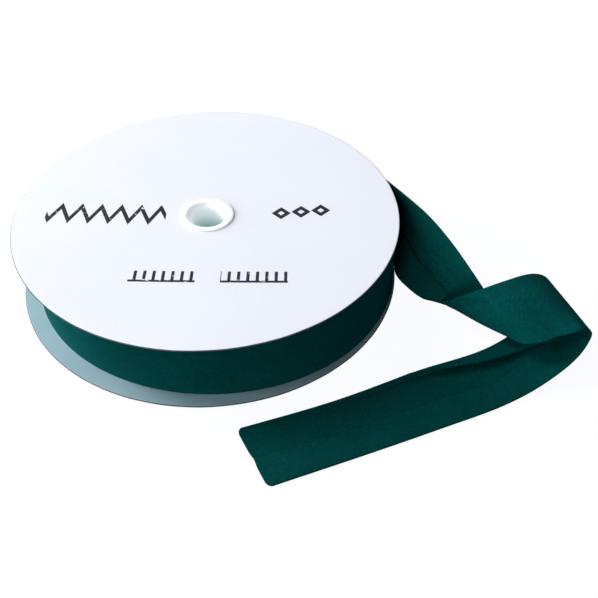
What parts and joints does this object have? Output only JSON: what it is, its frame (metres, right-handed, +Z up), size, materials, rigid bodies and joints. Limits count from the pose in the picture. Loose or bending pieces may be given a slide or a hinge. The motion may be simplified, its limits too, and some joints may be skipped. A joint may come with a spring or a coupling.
{
  "type": "roll of bias tape",
  "caption": "Narrow double-fold bias tape wound between two thin card discs on a short hollow plastic hub, with its loose end turned over twice and laid on the table.",
  "frame": {"origin": "on the table, under the middle of the bounding box of the whole object", "axes": "+Z is up along the reel's axis; +X runs from the reel towards the fold of the loose end; +Y points away from the cut end"},
  "size_m": [0.152, 0.129, 0.0203],
  "materials": {
    "card": "coated white card outside, grey-blue board inside",
    "hub_plastic": "smooth white moulding",
    "tape_cloth": "fine plain weave cut on the bias, dark green, slight sheen"
  },
  "bodies": {
    "root": {"flange_bottom": "card", "flange_top": "card", "hub": "hub_plastic", "tape_roll": "tape_cloth", "tape_tail": "tape_cloth"}
  },
  "joints": []
}
